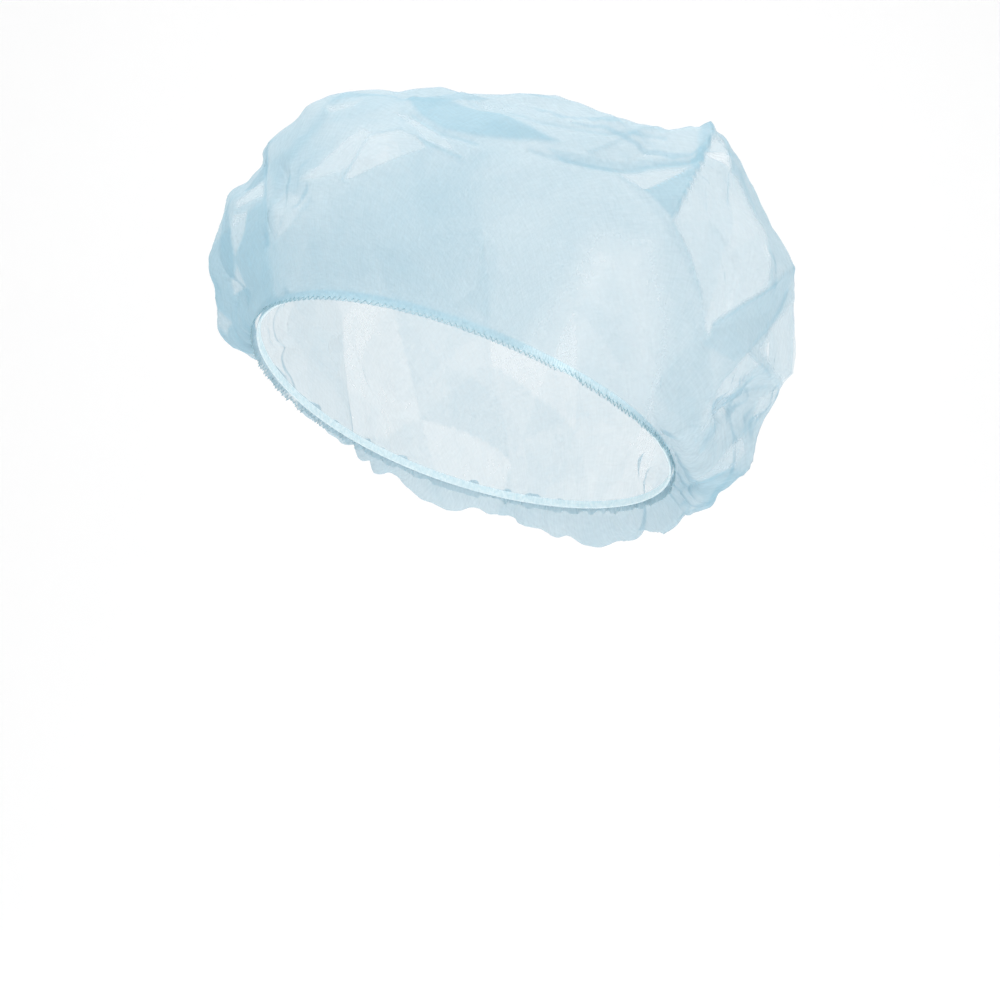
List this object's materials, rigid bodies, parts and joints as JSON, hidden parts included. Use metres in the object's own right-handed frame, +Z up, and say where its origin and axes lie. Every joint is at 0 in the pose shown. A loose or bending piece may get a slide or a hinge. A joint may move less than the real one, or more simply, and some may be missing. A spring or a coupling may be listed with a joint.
{
  "type": "disposable bouffant cap",
  "caption": "Disposable bouffant cap of thin blue non-woven cloth, puffed at the back and gathered all round onto an elastic edge, open below",
  "frame": {"origin": "The middle of the tilted ring that the elastic follows, where the cap sits when it is worn", "axes": "+Z up, -Y the front of the cap, +X its left side. The opening faces down and is 24 degrees higher at the front"},
  "size_m": [0.2182, 0.2329, 0.1765],
  "materials": {
    "nonwoven_cloth": "matte, thin and translucent, pale blue, faintly embossed",
    "elastic": "matte, pale, covered with thread"
  },
  "bodies": {
    "root": {"crown": "nonwoven_cloth", "edge_elastic": "elastic"}
  },
  "joints": []
}
